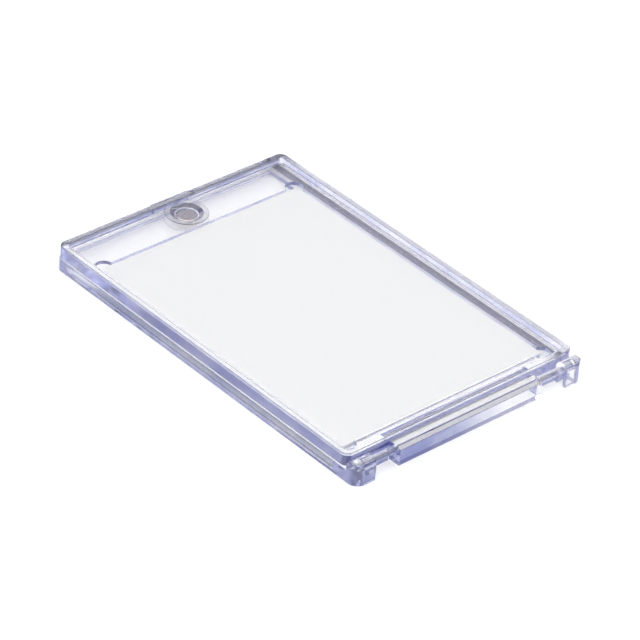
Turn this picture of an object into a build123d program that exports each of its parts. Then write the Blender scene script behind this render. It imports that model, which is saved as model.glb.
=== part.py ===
"""Clear hinged card holder with a magnetic catch.

+Z is up, +Y runs from the hinge to the magnets, and X runs across.
The origin lies on the surface that the holder rests on, under the middle of its outline.
All sizes are millimetres.
"""
import math
import os

from build123d import *

# Card, and the thickest one that the well takes
card_width = 63.5
card_length = 88.9
card_thickness = 0.35
thickest_card = 0.89
card_corner_radius = 0.4

# Room that the well leaves round the card
card_side_clearance = 0.15
card_end_clearance = 0.2
card_seat_gap = 0.03
card_head_clearance = 0.03

# Plates: the tray below and the cover above, with a parting gap between them
side_margin = 4.25
near_margin = 5.9
far_margin = 11.2
tray_step = 0.2
plate_corner_radius = 2.0
tray_rim_depth = 1.25
tray_floor = 1.3
tray_rim_width = 1.0
parting_gap = 0.1
window_thickness = 1.95
cover_rim_depth = 1.55
cover_rim_width = 1.65
recess_corner_radius = 1.2

# Rounded edges of the mouldings
foot_edge_radius = 0.2
parting_edge_radius = 0.12
cover_edge_radius = 0.2
rim_inner_edge_radius = 0.15
window_fillet_radius = 0.3
tray_recess_fillet_radius = 0.6
boss_edge_radius = 0.1

# Corner reliefs of the well
near_ear_radius = 2.5
near_ear_side_inset = 0.85
near_ear_end_inset = -0.2
far_ear_radius = 2.35
far_ear_side_inset = 1.3
far_ear_end_inset = 0.25

# Magnets, their pockets and the bosses round them
magnet_diameter = 5.5
magnet_thickness = 1.0
magnet_edge_radius = 0.25
magnet_radial_clearance = 0.05
magnet_seat_gap = 0.02
magnet_head_clearance = 0.03
magnet_setback = 5.9
boss_diameter = 11.15
boss_height = 0.15
boss_ring_width = 1.35
boss_dish_depth = 0.6
boss_dish_wall_run = 1.2

# Thumb lip on the cover's far face
lip_width = 14.2
lip_reach = 1.65
lip_end_taper = 1.4
lip_top_drop = 1.1
lip_edge_radius = 0.3

# Hinge: trunnions on the cover's bar turn in sockets in the tray's lugs
pivot_offset = 2.15
pivot_rise = 0.95
knuckle_radius = 1.9
trunnion_radius = 0.95
trunnion_engagement = 3.0
trunnion_end_chamfer = 0.25
socket_radial_clearance = 0.06
socket_end_clearance = 0.2
socket_slot_width = 1.6
socket_mouth_radius = 1.45
socket_mouth_height = 0.7

# Lugs at the tray's near corners
lug_width = 5.9
lug_corner_radius = 2.85
lug_top_drop = 0.1
lug_end_radius = 1.2

# Bar on the cover's near face, between the lugs
lug_to_bar_gap = 7.9
bar_depth = 3.6
bar_ledge_depth = 2.2
bar_ledge_drop = 1.75
bar_strip_drop = 0.45
bar_ground_clearance = 0.25
bar_front_edge_radius = 0.4
bar_top_edge_radius = 0.15
bar_side_clearance = 0.4
bar_sweep_clearance = 0.3

# How far each cutter runs past the face that it opens
overrun = 1.0

# Well
well_width = card_width + 2 * card_side_clearance
well_length = card_length + 2 * card_end_clearance
well_depth = card_seat_gap + thickest_card + card_head_clearance

# Outlines of the plates
cover_width = well_width + 2 * side_margin
cover_length = near_margin + well_length + far_margin
tray_width = cover_width + 2 * tray_step
tray_length = cover_length + 2 * tray_step
tray_corner_radius = plate_corner_radius + tray_step

# Heights
well_floor_z = tray_rim_depth + tray_floor
tray_top_z = well_floor_z + well_depth
cover_base_z = tray_top_z + parting_gap
window_top_z = cover_base_z + window_thickness
cover_top_z = window_top_z + cover_rim_depth
pivot_z = tray_top_z + parting_gap / 2 + pivot_rise
lug_top_z = pivot_z + knuckle_radius - lug_top_drop
pocket_depth = magnet_seat_gap + magnet_thickness + magnet_head_clearance

# Places along the length: the lugs reach further out than the lip, so the plates sit off centre
near_reach = cover_length / 2 + pivot_offset + knuckle_radius
far_reach = cover_length / 2 + lip_reach
plates_middle_y = (near_reach - far_reach) / 2
cover_near_y = plates_middle_y - cover_length / 2
cover_far_y = plates_middle_y + cover_length / 2
tray_near_y = cover_near_y - tray_step
well_near_y = cover_near_y + near_margin
well_far_y = well_near_y + well_length
well_middle_y = (well_near_y + well_far_y) / 2
magnet_y = cover_far_y - magnet_setback
pivot_y = cover_near_y - pivot_offset

# Places across the width
lug_inner_x = tray_width / 2 - lug_width
bar_half_width = lug_inner_x - lug_to_bar_gap

# Bar heights, and how far back its lower corner swings when the cover opens
bar_ledge_z = cover_top_z - bar_ledge_drop
bar_strip_z = bar_ledge_z - bar_strip_drop
bar_sweep_radius = math.hypot(pivot_offset, pivot_z - bar_ground_clearance)
bar_bay_back_y = pivot_y + bar_sweep_radius + bar_sweep_clearance
bar_bay_half_width = bar_half_width + bar_side_clearance


def block(x_range, y_range, z_range):
    """Makes a box from its limits along each axis."""
    sizes = [high - low for low, high in (x_range, y_range, z_range)]
    low_corner = Pos(x_range[0], y_range[0], z_range[0])
    return low_corner * Box(*sizes, align=(Align.MIN, Align.MIN, Align.MIN))


def slab(width, length, corner_radius, middle_y, z_range):
    """Makes a plate with rounded corners, centred across the width."""
    outline = Pos(0, middle_y, z_range[0]) * RectangleRounded(width, length, corner_radius)
    return extrude(outline, z_range[1] - z_range[0])


def disc(radius, y, z_range):
    """Makes an upright cylinder on the centre line."""
    height = z_range[1] - z_range[0]
    base = (Align.CENTER, Align.CENTER, Align.MIN)
    return Pos(0, y, z_range[0]) * Cylinder(radius, height, align=base)


def cross_rod(radius, x_range, y, z):
    """Makes a cylinder that lies along X."""
    middle_x = (x_range[0] + x_range[1]) / 2
    return Pos(middle_x, y, z) * Rot(0, 90, 0) * Cylinder(radius, x_range[1] - x_range[0])


def both_sides(solid):
    """Joins a solid on the +X side to its mirror image on the -X side."""
    return solid + mirror(solid, about=Plane.YZ)


def edges_at(solid, z):
    """Picks the edges that lie flat at one height."""
    return solid.edges().filter_by_position(Axis.Z, z, z)


def make_lug():
    """Makes the +X lug: a block on the tray's near corner, with a flat-topped knuckle round outside."""
    x_range = (lug_inner_x, tray_width / 2)
    front_y = pivot_y - knuckle_radius
    root_y = tray_near_y + tray_corner_radius
    root = block(x_range, (front_y, root_y), (0, tray_top_z))
    shoulder = block(x_range, (front_y, pivot_y), (0, pivot_z))
    knuckle = cross_rod(knuckle_radius, x_range, pivot_y, pivot_z)
    plan_length = 2 * (root_y - front_y)
    plan = slab(tray_width, plan_length, lug_corner_radius, root_y, (0, lug_top_z))
    bounds = block(x_range, (front_y, root_y), (0, lug_top_z))
    outer_top_edge = bounds.edges().filter_by(Axis.Y).group_by(Axis.Z)[-1].sort_by(Axis.X)[-1]
    bounds = fillet(outer_top_edge, lug_end_radius)
    return (root + shoulder + knuckle) & plan & bounds


def make_socket_cutter():
    """Makes the space of the +X snap socket: a blind bore, its entry slot and a flared mouth."""
    x_range = (lug_inner_x - overrun, lug_inner_x + trunnion_engagement + socket_end_clearance)
    bore = cross_rod(trunnion_radius + socket_radial_clearance, x_range, pivot_y, pivot_z)
    slot_sides = (pivot_y - socket_slot_width / 2, pivot_y + socket_slot_width / 2)
    slot = block(x_range, slot_sides, (-overrun, pivot_z))
    mouth_z = socket_mouth_height - socket_mouth_radius
    mouth = cross_rod(socket_mouth_radius, x_range, pivot_y, mouth_z)
    return bore + slot + mouth


def make_well_cutter():
    """Makes the space of the card well, with a round relief at each corner."""
    z_range = (well_floor_z, tray_top_z + overrun)
    well = slab(well_width, well_length, card_corner_radius, well_middle_y, z_range)
    near_x = well_width / 2 - near_ear_side_inset
    far_x = well_width / 2 - far_ear_side_inset
    near_ear = Pos(near_x, 0, 0) * disc(near_ear_radius, well_near_y + near_ear_end_inset, z_range)
    far_ear = Pos(far_x, 0, 0) * disc(far_ear_radius, well_far_y - far_ear_end_inset, z_range)
    return well + both_sides(near_ear) + both_sides(far_ear)


def make_tray():
    """Makes the tray: a frame and a thinner floor, the well above, a recess below and two hinge lugs."""
    z_range = (0, tray_top_z)
    tray = slab(tray_width, tray_length, tray_corner_radius, plates_middle_y, z_range)
    tray = fillet(edges_at(tray, tray_top_z), parting_edge_radius)
    tray = tray + both_sides(make_lug())
    tray = fillet(edges_at(tray, 0), foot_edge_radius)

    recess_far_y = cover_far_y + tray_step - tray_rim_width
    recess_length = recess_far_y - well_near_y
    recess_middle_y = (well_near_y + recess_far_y) / 2
    foot_corner_radius = tray_corner_radius - tray_rim_width
    recess_z = (-overrun, tray_rim_depth)
    recess = slab(well_width, recess_length, foot_corner_radius, recess_middle_y, recess_z)
    recess = fillet(edges_at(recess, tray_rim_depth), tray_recess_fillet_radius)
    bay = block(
        (-bar_bay_half_width, bar_bay_half_width),
        (tray_near_y - overrun, bar_bay_back_y),
        (-overrun, tray_top_z + overrun),
    )
    tray = tray - recess - bay

    boss = disc(boss_diameter / 2, magnet_y, (tray_rim_depth - boss_height, tray_rim_depth))
    boss = fillet(edges_at(boss, tray_rim_depth - boss_height), boss_edge_radius)
    tray = tray + boss - make_well_cutter() - make_magnet_pocket(tray_top_z, -1)
    return tray - both_sides(make_socket_cutter())


def make_magnet_pocket(mouth_z, direction):
    """Makes the space of a magnet pocket that opens at a height and runs up or down from it."""
    ends = (mouth_z - direction * overrun, mouth_z + direction * pocket_depth)
    radius = magnet_diameter / 2 + magnet_radial_clearance
    return disc(radius, magnet_y, (min(ends), max(ends)))


def make_magnet(mouth_z, direction):
    """Makes the disc magnet of the pocket that opens at a height and runs up or down from it."""
    seat_z = mouth_z + direction * (pocket_depth - magnet_seat_gap)
    ends = (seat_z, seat_z - direction * magnet_thickness)
    magnet = disc(magnet_diameter / 2, magnet_y, (min(ends), max(ends)))
    return fillet(magnet.edges().filter_by(GeomType.CIRCLE), magnet_edge_radius)


def add_dished_boss(cover):
    """Raises a low ring on the window over the magnet, round a dish whose wall slopes in to its floor."""
    top_z = window_top_z + boss_height
    mouth_radius = boss_diameter / 2 - boss_ring_width
    dish = Pos(0, magnet_y, top_z - boss_dish_depth) * Cone(
        mouth_radius - boss_dish_wall_run,
        mouth_radius,
        boss_dish_depth,
        align=(Align.CENTER, Align.CENTER, Align.MIN),
    )
    ring = disc(boss_diameter / 2, magnet_y, (window_top_z, top_z)) - dish
    ring = fillet(edges_at(ring, top_z), boss_edge_radius)
    return cover - dish + ring


def make_lip():
    """Makes the thumb lip, which tapers towards its tip."""
    root_half = lip_width / 2
    tip_half = root_half - lip_end_taper
    root_y = cover_far_y - cover_rim_width / 2
    outline = Polyline(
        (-root_half, root_y),
        (root_half, root_y),
        (root_half, cover_far_y),
        (tip_half, cover_far_y + lip_reach),
        (-tip_half, cover_far_y + lip_reach),
        (-root_half, cover_far_y),
        close=True,
    )
    lip_top_z = cover_top_z - lip_top_drop
    lip = extrude(Pos(0, 0, cover_base_z) * make_face(outline), lip_top_z - cover_base_z)
    tip_edges = lip.edges().filter_by(Axis.X).group_by(Axis.Y)[-1]
    return fillet(tip_edges, lip_edge_radius)


def make_bar():
    """Makes the hinge bar: a stepped block on the cover's near face with a trunnion at each end."""
    x_range = (-bar_half_width, bar_half_width)
    front_y = cover_near_y - bar_depth
    step_y = cover_near_y - bar_ledge_depth
    outline = Polyline(
        (cover_near_y, bar_ground_clearance),
        (cover_near_y, bar_ledge_z),
        (step_y, bar_ledge_z),
        (step_y, bar_strip_z),
        (front_y, bar_strip_z),
        (front_y, bar_ground_clearance),
        close=True,
    )
    section = Plane(origin=(x_range[0], 0, 0), x_dir=(0, 1, 0), z_dir=(1, 0, 0)) * make_face(outline)
    bar = extrude(section, x_range[1] - x_range[0])
    long_edges = bar.edges().filter_by(Axis.X)
    front_edges = long_edges.group_by(Axis.Y)[0].sort_by(Axis.Z)
    step_edge = long_edges.group_by(Axis.Z)[-1].sort_by(Axis.Y)[0]
    bar = fillet([front_edges[-1], step_edge], bar_top_edge_radius)
    long_edges = bar.edges().filter_by(Axis.X)
    bottom_front = long_edges.group_by(Axis.Z)[0].sort_by(Axis.Y)[0]
    bar = fillet(bottom_front, bar_front_edge_radius)
    weld_height = bar_ledge_z - cover_base_z
    weld = block(
        x_range, (cover_near_y, cover_near_y + cover_rim_width), (cover_base_z, cover_base_z + weld_height)
    )
    trunnion_x = (bar_half_width, lug_inner_x + trunnion_engagement)
    trunnion = cross_rod(trunnion_radius, trunnion_x, pivot_y, pivot_z)
    end_edge = trunnion.edges().filter_by(GeomType.CIRCLE).sort_by(Axis.X)[-1]
    trunnion = chamfer(end_edge, trunnion_end_chamfer)
    return bar + weld + both_sides(trunnion)


def make_cover():
    """Makes the cover: a rimmed window with a magnet boss, a thumb lip and the hinge bar."""
    z_range = (cover_base_z, cover_top_z)
    cover = slab(cover_width, cover_length, plate_corner_radius, plates_middle_y, z_range)
    cover = fillet(edges_at(cover, cover_top_z), cover_edge_radius)
    cover = fillet(edges_at(cover, cover_base_z), parting_edge_radius)

    recess_width = cover_width - 2 * cover_rim_width
    recess_length = cover_length - 2 * cover_rim_width
    recess_z = (window_top_z, cover_top_z + overrun)
    recess = slab(recess_width, recess_length, recess_corner_radius, plates_middle_y, recess_z)
    recess = fillet(edges_at(recess, window_top_z), window_fillet_radius)
    cover = cover - recess
    rim_top = cover.faces().sort_by(Axis.Z)[-1]
    cover = fillet(rim_top.inner_wires()[0].edges(), rim_inner_edge_radius)

    cover = add_dished_boss(cover) - make_magnet_pocket(cover_base_z, 1)
    return cover + make_lip() + make_bar()


def make_card():
    """Makes the blank card, just above the well's floor."""
    seat_z = well_floor_z + card_seat_gap
    z_range = (seat_z, seat_z + card_thickness)
    return slab(card_width, card_length, card_corner_radius, well_middle_y, z_range)


pieces = {
    "base_tray": make_tray(),
    "cover": make_cover(),
    "base_magnet": make_magnet(tray_top_z, -1),
    "cover_magnet": make_magnet(cover_base_z, 1),
    "blank_card": make_card(),
}

os.makedirs("parts", exist_ok=True)
for name, solid in pieces.items():
    solid.label = name
    export_step(solid, os.path.join("parts", name + ".step"))
    print(name, "solids", len(solid.solids()), "volume", round(solid.volume, 2), "valid", solid.is_valid)
print("hinge pivot", 0, round(pivot_y, 4), round(pivot_z, 4))
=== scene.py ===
import math

import bpy
from mathutils import Matrix, Vector

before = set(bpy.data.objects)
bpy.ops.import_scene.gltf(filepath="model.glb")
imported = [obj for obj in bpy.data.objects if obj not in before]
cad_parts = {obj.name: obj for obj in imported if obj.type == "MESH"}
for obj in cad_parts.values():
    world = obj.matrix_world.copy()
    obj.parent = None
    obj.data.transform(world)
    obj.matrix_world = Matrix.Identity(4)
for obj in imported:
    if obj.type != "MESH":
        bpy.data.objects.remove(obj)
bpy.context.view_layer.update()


# Tray
# The lower half of the holder: one injection moulding in clear polystyrene with a faint violet tint,
# polished but for the finely frosted frame round the card. Its two lugs hold the hinge sockets.

plastic_ior = 1.59
clear_white = (1.0, 1.0, 1.0, 1.0)
# Painted shade: violet laid into the colour of walls and rounded edges by the way they face.
wall_shade_violet = (0.26, 0.29, 0.555, 1.0)
# Painted shade: grey laid into the colour of listed zones.
flat_shade_grey = (0.10, 0.10, 0.14, 1.0)
depth_colour = (0.5, 0.5, 0.75, 1.0)
depth_density = 8.0
magnet_place = (0.0, 0.0485, 0.0)
level_share = (1.0, 1.0, 0.0)

# Walls count as such by how far they turn from level, and the violet shade painted on them lies in faint
# clouds.
wall_turn = (0.97, 0.3)
cloud_scale = 120.0
cloud_detail = 3.0
cloud_contrast = (0.35, 0.65)
cloud_shares = (0.55, 1.0)

# Past the near wall the painted shade changes from left to right instead: heavy at the left, faint at the
# right.
near_end_limits = (-0.0518, -0.05195)
along_limits = (-0.014, 0.012)

# The haze is a roughness; the relief is a height in metres.
frost_haze_level = 0.18
wall_haze_level = 0.02
flow_scale = 90.0
flow_detail = 0.0
speckle_scale = 3000.0
speckle_detail = 2.0
relief_height = 0.000003

tray_wall_share = 1.0
# Painted shade on the lugs' near faces, heavy at the left and faint at the right
lug_shade_shares = (0.95, 0.1)


def join(links, *pairs):
    """Links each output to the socket that stands beside it."""
    for output, socket in pairs:
        links.new(output, socket)


def step_up(nodes, start, end, low=0.0, high=1.0):
    """A ramp from low at start to high at end, level outside them."""
    ramp = nodes.new("ShaderNodeMapRange")
    ramp.inputs["From Min"].default_value = start
    ramp.inputs["From Max"].default_value = end
    ramp.inputs["To Min"].default_value = low
    ramp.inputs["To Max"].default_value = high
    return ramp


def arithmetic(nodes, operation, second=None):
    """A sum, product or other step between two numbers."""
    step = nodes.new("ShaderNodeMath")
    step.operation = operation
    if second is not None:
        step.inputs[1].default_value = second
    return step


def vector_step(nodes, operation, second=None):
    """A step between two vectors, or on one."""
    step = nodes.new("ShaderNodeVectorMath")
    step.operation = operation
    if second is not None:
        step.inputs[1].default_value = second
    return step


def grain(nodes, scale, detail):
    """Noise on the piece's own coordinates; the scale counts features to the metre."""
    noise = nodes.new("ShaderNodeTexNoise")
    noise.inputs["Scale"].default_value = scale
    noise.inputs["Detail"].default_value = detail
    return noise


def colour_mix(nodes, first=None, second=None):
    """A blend from a first colour to a second."""
    mix = nodes.new("ShaderNodeMix")
    mix.data_type = "RGBA"
    if first is not None:
        mix.inputs["A"].default_value = first
    if second is not None:
        mix.inputs["B"].default_value = second
    return mix


def bumps(nodes, height, strength=1.0):
    """Turns a height into a bent surface normal."""
    bump = nodes.new("ShaderNodeBump")
    bump.inputs["Strength"].default_value = strength
    bump.inputs["Distance"].default_value = height
    return bump


def combine(nodes, links, operation, values):
    """Takes the product or the greatest of several numbers."""
    total = values[0]
    for value in values[1:]:
        step = arithmetic(nodes, operation)
        join(links, (total, step.inputs[0]), (value, step.inputs[1]))
        total = step.outputs["Value"]
    return total


def zone(nodes, links, where, limits, strength=1.0):
    """A part of the moulding: each coordinate fades in from its first limit to its second."""
    fades = []
    for axis, (start, end) in limits.items():
        fade_in = step_up(nodes, start, end)
        join(links, (where[axis], fade_in.inputs["Value"]))
        fades.append(fade_in.outputs["Result"])
    scaled = arithmetic(nodes, "MULTIPLY", strength)
    join(links, (combine(nodes, links, "MULTIPLY", fades), scaled.inputs[0]))
    return scaled.outputs["Value"]


def new_material(name):
    """A new material and its shader."""
    material = bpy.data.materials.new(name)
    material.use_nodes = True
    return material, material.node_tree.nodes["Principled BSDF"]


def clear_polystyrene(name, wall_share, end_shade_shares, painted_shade_zones, clear_zones, frosted_zones):
    """Clear moulded plastic: colourless through its flats, with violet shade painted on its walls and edges
    and grey shade painted on listed zones.
    """
    material, shader = new_material(name)
    nodes = material.node_tree.nodes
    links = material.node_tree.links
    shader.inputs["Transmission Weight"].default_value = 1.0
    shader.inputs["IOR"].default_value = plastic_ior
    place = nodes.new("ShaderNodeTexCoord")
    spot = nodes.new("ShaderNodeSeparateXYZ")
    sideways = arithmetic(nodes, "ABSOLUTE")
    off_magnet = vector_step(nodes, "SUBTRACT", magnet_place)
    level_off = vector_step(nodes, "MULTIPLY", level_share)
    reach = vector_step(nodes, "LENGTH")
    join(
        links,
        (place.outputs["Object"], spot.inputs["Vector"]),
        (spot.outputs["X"], sideways.inputs[0]),
        (place.outputs["Object"], off_magnet.inputs[0]),
        (off_magnet.outputs["Vector"], level_off.inputs[0]),
        (level_off.outputs["Vector"], reach.inputs[0]),
    )
    # Two names for one coordinate let a zone have a limit at both of its ends.
    where = {
        "x": spot.outputs["X"],
        "y": spot.outputs["Y"],
        "back": spot.outputs["Y"],
        "z": spot.outputs["Z"],
        "side": sideways.outputs["Value"],
        "from_magnet": reach.outputs["Value"],
        "to_magnet": reach.outputs["Value"],
    }

    # Walls and rounded edges get a painted violet shade by how far they turn from level, in faint clouds.
    facing = nodes.new("ShaderNodeSeparateXYZ")
    upright = arithmetic(nodes, "ABSOLUTE")
    wall = step_up(nodes, *wall_turn)
    clouds = grain(nodes, cloud_scale, cloud_detail)
    cloudy = step_up(nodes, *cloud_contrast, *cloud_shares)
    # Painted shade past the near wall, from the left share to the right share along x
    along = step_up(nodes, *along_limits, *end_shade_shares)
    near_end = step_up(nodes, *near_end_limits)
    near_share = nodes.new("ShaderNodeMix")
    near_share.inputs["A"].default_value = wall_share
    join(
        links,
        (place.outputs["Normal"], facing.inputs["Vector"]),
        (facing.outputs["Z"], upright.inputs[0]),
        (upright.outputs["Value"], wall.inputs["Value"]),
        (place.outputs["Object"], clouds.inputs["Vector"]),
        (clouds.outputs["Fac"], cloudy.inputs["Value"]),
        (where["x"], along.inputs["Value"]),
        (where["y"], near_end.inputs["Value"]),
        (near_end.outputs["Result"], near_share.inputs["Factor"]),
        (along.outputs["Result"], near_share.inputs["B"]),
    )
    wall_parts = [wall.outputs["Result"], cloudy.outputs["Result"], near_share.outputs["Result"]]
    for limits in clear_zones:
        kept = arithmetic(nodes, "SUBTRACT")
        kept.inputs[0].default_value = 1.0
        join(links, (zone(nodes, links, where, limits), kept.inputs[1]))
        wall_parts.append(kept.outputs["Value"])
    # Painted shade: each listed zone darkens toward grey by its strength.
    flat_parts = [zone(nodes, links, where, limits, strength) for strength, limits in painted_shade_zones]
    wall_shade = colour_mix(nodes, clear_white, wall_shade_violet)
    flat_shade = colour_mix(nodes, None, flat_shade_grey)
    join(
        links,
        (combine(nodes, links, "MULTIPLY", wall_parts), wall_shade.inputs["Factor"]),
        (combine(nodes, links, "MAXIMUM", flat_parts), flat_shade.inputs["Factor"]),
        (wall_shade.outputs["Result"], flat_shade.inputs["A"]),
        (flat_shade.outputs["Result"], shader.inputs["Base Color"]),
    )

    # Polished flats, slightly duller walls, and frosted zones with their fine grain.
    frost = combine(nodes, links, "MAXIMUM", [zone(nodes, links, where, limits) for limits in frosted_zones])
    frost_haze = arithmetic(nodes, "MULTIPLY", frost_haze_level)
    wall_haze = arithmetic(nodes, "MULTIPLY", wall_haze_level)
    haze = arithmetic(nodes, "MAXIMUM")
    flow = grain(nodes, flow_scale, flow_detail)
    speckle = grain(nodes, speckle_scale, speckle_detail)
    frost_relief = arithmetic(nodes, "MULTIPLY")
    relief = arithmetic(nodes, "ADD")
    bump = bumps(nodes, relief_height)
    join(
        links,
        (frost, frost_haze.inputs[0]),
        (frost, frost_relief.inputs[1]),
        (wall.outputs["Result"], wall_haze.inputs[0]),
        (frost_haze.outputs["Value"], haze.inputs[0]),
        (wall_haze.outputs["Value"], haze.inputs[1]),
        (haze.outputs["Value"], shader.inputs["Roughness"]),
        (place.outputs["Object"], flow.inputs["Vector"]),
        (place.outputs["Object"], speckle.inputs["Vector"]),
        (speckle.outputs["Fac"], frost_relief.inputs[0]),
        (flow.outputs["Fac"], relief.inputs[0]),
        (frost_relief.outputs["Value"], relief.inputs[1]),
        (relief.outputs["Value"], bump.inputs["Height"]),
        (bump.outputs["Normal"], shader.inputs["Normal"]),
    )

    depth_tint = nodes.new("ShaderNodeVolumeAbsorption")
    depth_tint.inputs["Color"].default_value = depth_colour
    depth_tint.inputs["Density"].default_value = depth_density
    join(links, (depth_tint.outputs["Volume"], nodes["Material Output"].inputs["Volume"]))
    return material


def finish_node(node_name, material):
    """Gives a solid of the frame its finish."""
    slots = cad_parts[node_name].data.materials
    slots.clear()
    slots.append(material)


# The frame's top, a strip of it beside the card at the right with painted shade, and painted shade round the
# foot's sides and far end
frame_top_z = (0.00340, 0.00345)
foot_z = (0.00015, 0.00005)
strip_shade_level = 1.0
foot_shade_level = 0.35
frame_top = {"z": frame_top_z, "y": (-0.05210, -0.05205)}
painted_shade_strip = {"z": frame_top_z, "x": (0.0319, 0.0321), "side": (0.0345, 0.0341), "y": (-0.0515, -0.0512)}
foot_sides = {"z": foot_z, "side": (0.0344, 0.0350)}
foot_far_end = {"z": foot_z, "y": (0.0530, 0.0536), "x": (-0.025, 0.015)}

# Walls that stay clear: those of the well, of the recess below it and of the bay behind the bar
well_z = (0.0024, 0.0025)
inside_x = (0.0322, 0.0320)
well_ends = {"z": well_z, "side": (0.0285, 0.0280), "y": (0.0440, 0.0438)}
well_sides = {"z": well_z, "side": inside_x, "y": (0.0405, 0.0400), "back": (-0.0430, -0.0425)}
recess_walls = {"z": (0.0020, 0.0019), "side": inside_x, "back": (-0.0466, -0.0464), "y": (0.0540, 0.0538)}
bay_back = {"back": (-0.0494, -0.0493), "y": (-0.0488, -0.0489), "side": (0.0232, 0.0230)}

tray_plastic = clear_polystyrene(
    "tray_polystyrene",
    tray_wall_share,
    lug_shade_shares,
    # Painted shade on the strip at the right and on the foot
    [(strip_shade_level, painted_shade_strip), (foot_shade_level, foot_sides), (foot_shade_level, foot_far_end)],
    [well_ends, well_sides, recess_walls, bay_back],
    [frame_top],
)
finish_node("base_tray", tray_plastic)


# Magnets
# Two sintered disc magnets, plated with nickel, which is warm in colour and a little uneven.
# One is pressed into the tray's pocket and the other into the cover's, face to face.

bright_nickel = (0.86, 0.78, 0.64, 1.0)
dull_nickel = (0.66, 0.60, 0.58, 1.0)
stain_scale = 500.0
stain_contrast = (0.35, 0.65)
haze_contrast = (0.3, 0.7)
haze_levels = (0.1, 0.3)
nickel_grain_scale = 2500.0
nickel_detail = 2.0
nickel_relief = 0.00002

plating, plating_shader = new_material("nickel_plating")
plating_nodes = plating.node_tree.nodes
plating_shader.inputs["Metallic"].default_value = 1.0
plating_place = plating_nodes.new("ShaderNodeTexCoord")
stain = grain(plating_nodes, stain_scale, nickel_detail)
stain_share = step_up(plating_nodes, *stain_contrast)
plating_colour = colour_mix(plating_nodes, bright_nickel, dull_nickel)
plating_haze = step_up(plating_nodes, *haze_contrast, *haze_levels)
plating_grain = grain(plating_nodes, nickel_grain_scale, nickel_detail)
plating_bump = bumps(plating_nodes, nickel_relief)
join(
    plating.node_tree.links,
    (plating_place.outputs["Object"], stain.inputs["Vector"]),
    (plating_place.outputs["Object"], plating_grain.inputs["Vector"]),
    (stain.outputs["Fac"], stain_share.inputs["Value"]),
    (stain_share.outputs["Result"], plating_colour.inputs["Factor"]),
    (plating_colour.outputs["Result"], plating_shader.inputs["Base Color"]),
    (stain.outputs["Fac"], plating_haze.inputs["Value"]),
    (plating_haze.outputs["Result"], plating_shader.inputs["Roughness"]),
    (plating_grain.outputs["Fac"], plating_bump.inputs["Height"]),
    (plating_bump.outputs["Normal"], plating_shader.inputs["Normal"]),
)
finish_node("base_magnet", plating)
finish_node("cover_magnet", plating)


# Card
# A blank piece of smooth pale card stock, cut to the standard trading card size, with a fine fibre.
# It lies loose in the tray's well and stands for any card that the holder takes.

card_pale = (0.775, 0.775, 0.775, 1.0)
card_fibre = (0.765, 0.765, 0.765, 1.0)
fibre_scale = 4000.0
fibre_detail = 3.0
fibre_contrast = (0.3, 0.7)
card_haze_levels = (0.62, 0.78)
card_relief = 0.00001
card_relief_strength = 0.5

card_stock, card_shader = new_material("card_stock")
card_nodes = card_stock.node_tree.nodes
card_place = card_nodes.new("ShaderNodeTexCoord")
fibre = grain(card_nodes, fibre_scale, fibre_detail)
fibre_share = step_up(card_nodes, *fibre_contrast)
card_colour = colour_mix(card_nodes, card_pale, card_fibre)
card_haze = step_up(card_nodes, *fibre_contrast, *card_haze_levels)
card_bump = bumps(card_nodes, card_relief, card_relief_strength)
join(
    card_stock.node_tree.links,
    (card_place.outputs["Object"], fibre.inputs["Vector"]),
    (fibre.outputs["Fac"], fibre_share.inputs["Value"]),
    (fibre_share.outputs["Result"], card_colour.inputs["Factor"]),
    (card_colour.outputs["Result"], card_shader.inputs["Base Color"]),
    (fibre.outputs["Fac"], card_haze.inputs["Value"]),
    (card_haze.outputs["Result"], card_shader.inputs["Roughness"]),
    (fibre.outputs["Fac"], card_bump.inputs["Height"]),
    (card_bump.outputs["Normal"], card_shader.inputs["Normal"]),
)
finish_node("blank_card", card_stock)


# Cover
# The upper half: a second moulding in the same clear polystyrene, with the window, the rim round it,
# the lip for the thumb and the bar whose pins snap into the tray's lugs. It is polished but for its
# near face and its side faces, which are a little dull.

cover_wall_share = 1.0
# Painted shade on the bar's near faces, heavy at the left and faint at the right
bar_shade_shares = (1.35, 0.15)

# Flats with painted grey shade: the far rim, the bar's two steps, and the magnet's boss with a dark line
# painted round its edge
far_rim_shade = 0.95
ledge_shade = 0.27
front_strip_shade = 0.64
magnet_cup_shade = 0.9
magnet_ring_shade = 0.3
ring_edge_shade = 0.9
far_rim = {"z": (0.0062, 0.0063), "y": (0.0526, 0.0527)}
ledge = {"y": (-0.05205, -0.05210), "z": (0.0052, 0.0053)}
front_strip = {"y": (-0.05415, -0.05420), "z": (0.0048, 0.0049)}
magnet_cup = {"z": (0.00512, 0.00518), "from_magnet": (0.0044, 0.0042)}
magnet_ring = {"z": (0.0056, 0.00565), "from_magnet": (0.0058, 0.0056)}
ring_edge = {"z": (0.00556, 0.00558), "from_magnet": (0.00535, 0.0055), "to_magnet": (0.0059, 0.0058)}

# The clear inner walls of the rim, and the dull outer faces
rim_inner_sides = {"z": (0.0053, 0.0054), "side": (0.03465, 0.03460), "y": (0.0526, 0.0525)}
near_face = {"y": (-0.05190, -0.05198), "z": (0.0054, 0.0055), "back": (-0.05210, -0.05205)}
side_faces = {"side": (0.03606, 0.03612)}

cover_plastic = clear_polystyrene(
    "cover_polystyrene",
    cover_wall_share,
    bar_shade_shares,
    [
        (far_rim_shade, far_rim),
        (ledge_shade, ledge),
        (front_strip_shade, front_strip),
        (magnet_cup_shade, magnet_cup),
        (magnet_ring_shade, magnet_ring),
        (ring_edge_shade, ring_edge),
    ],
    [rim_inner_sides],
    [near_face, side_faces],
)
finish_node("cover", cover_plastic)


# Floor
# A plain white sheet under the holder, matt and evenly lit.
# It glows a little, so that it comes out pale all over.

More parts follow.
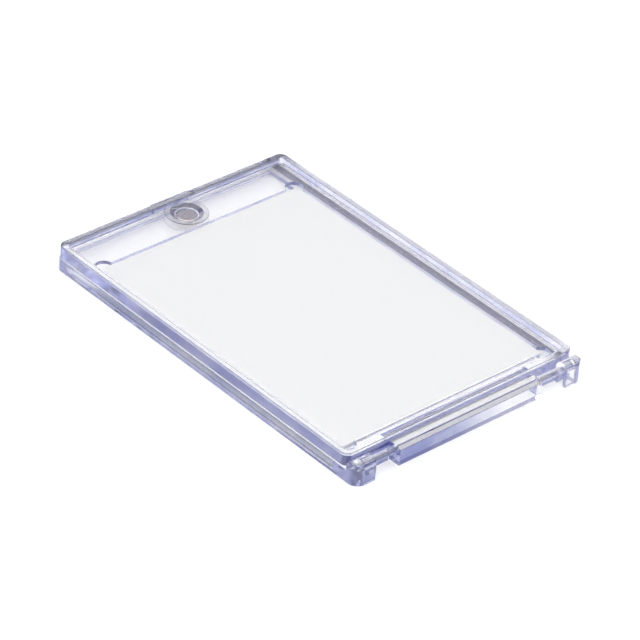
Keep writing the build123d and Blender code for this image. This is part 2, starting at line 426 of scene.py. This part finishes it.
floor_size = 4.0
floor_drop = 0.00002
sheet_white = (0.85, 0.85, 0.85, 1.0)
sheet_glow = 0.15

bpy.ops.object.select_all(action="DESELECT")
bpy.ops.mesh.primitive_plane_add(size=floor_size, location=(0.0, 0.0, -floor_drop))
floor = bpy.context.object
floor.name = "floor"
sheet, sheet_shader = new_material("white_sheet")
sheet_shader.inputs["Base Color"].default_value = sheet_white
sheet_shader.inputs["Roughness"].default_value = 1.0
sheet_shader.inputs["Specular IOR Level"].default_value = 0.0
sheet_shader.inputs["Emission Color"].default_value = clear_white
sheet_shader.inputs["Emission Strength"].default_value = sheet_glow
floor.data.materials.append(sheet)


# Light
# One wide soft light overhead that fades to a dim violet room at the horizon,
# and two small soft lamps that draw the crisp lines of light along the polished edges.

overhead = (0.0, 0.0, 1.0)
light_stops = [
    (0.0, (0.26, 0.27, 0.46)),
    (0.6, (0.38, 0.39, 0.54)),
    (0.78, (1.55, 1.55, 1.42)),
    (1.0, (2.55, 2.55, 2.30)),
]
lamp_directions = [(0.571, -0.65, 0.50), (-0.60, 0.593, 0.53)]
lamp_half_angle = math.radians(6.0)
lamp_edge = math.cos(lamp_half_angle)
lamp_edge_softness = 0.002
lamp_strength = 3.0
light_strength = 1.07

room = bpy.data.worlds.new("studio")
bpy.context.scene.world = room
room.use_nodes = True
room_nodes = room.node_tree.nodes
room_links = room.node_tree.links
room_place = room_nodes.new("ShaderNodeTexCoord")
towards_light = vector_step(room_nodes, "DOT_PRODUCT", overhead)
fade = room_nodes.new("ShaderNodeValToRGB")
marks = fade.color_ramp.elements
marks[0].position, marks[0].color = light_stops[0][0], (*light_stops[0][1], 1.0)
marks[1].position, marks[1].color = light_stops[-1][0], (*light_stops[-1][1], 1.0)
for stop, colour in light_stops[1:-1]:
    marks.new(stop).color = (*colour, 1.0)
join(
    room_links,
    (room_place.outputs["Generated"], towards_light.inputs[0]),
    (towards_light.outputs["Value"], fade.inputs["Fac"]),
)
sky = fade.outputs["Color"]
for lamp_direction in lamp_directions:
    towards_lamp = vector_step(room_nodes, "DOT_PRODUCT", lamp_direction)
    lamp = step_up(room_nodes, lamp_edge - lamp_edge_softness, lamp_edge, 0.0, lamp_strength)
    both = vector_step(room_nodes, "ADD")
    join(
        room_links,
        (room_place.outputs["Generated"], towards_lamp.inputs[0]),
        (towards_lamp.outputs["Value"], lamp.inputs["Value"]),
        (sky, both.inputs[0]),
        (lamp.outputs["Result"], both.inputs[1]),
    )
    sky = both.outputs["Vector"]
join(room_links, (sky, room_nodes["Background"].inputs["Color"]))
room_nodes["Background"].inputs["Strength"].default_value = light_strength


# Camera
# It stands at the holder's near left, looking down across it, and is turned a little about its own axis.
# The direction, the turn and the focal length come from a fit to the straight edges in the photograph.

azimuth = math.radians(-43.93)
elevation = math.radians(34.60)
roll = math.radians(4.70)
camera_distance = 0.91977
camera_target = Vector((0.00174, -0.00033, 0.0))
image_side = 640
focal_pixels = 3806.48
sensor_width = 36.0
nearest_view = 0.01

backwards = Vector((
    math.sin(azimuth) * math.cos(elevation),
    -math.cos(azimuth) * math.cos(elevation),
    math.sin(elevation),
))
level_right = Vector((math.cos(azimuth), math.sin(azimuth), 0.0))
level_up = backwards.cross(level_right)
rightwards = math.cos(roll) * level_right + math.sin(roll) * level_up
upwards = backwards.cross(rightwards)
eye = camera_target + backwards * camera_distance
camera_data = bpy.data.cameras.new("photo_camera")
camera = bpy.data.objects.new("photo_camera", camera_data)
bpy.context.scene.collection.objects.link(camera)
camera.matrix_world = Matrix((
    (rightwards.x, upwards.x, backwards.x, eye.x),
    (rightwards.y, upwards.y, backwards.y, eye.y),
    (rightwards.z, upwards.z, backwards.z, eye.z),
    (0.0, 0.0, 0.0, 1.0),
))
camera_data.sensor_width = sensor_width
camera_data.lens = sensor_width * focal_pixels / image_side
camera_data.clip_start = nearest_view
bpy.context.scene.camera = camera

# Light has to pass many clear faces before it reaches the card and the floor.
clear_face_bounces = 96
bpy.context.scene.view_settings.view_transform = "Standard"
tracing = bpy.context.scene.cycles
tracing.max_bounces = clear_face_bounces
tracing.transmission_bounces = clear_face_bounces
tracing.glossy_bounces = clear_face_bounces
tracing.blur_glossy = 0.0
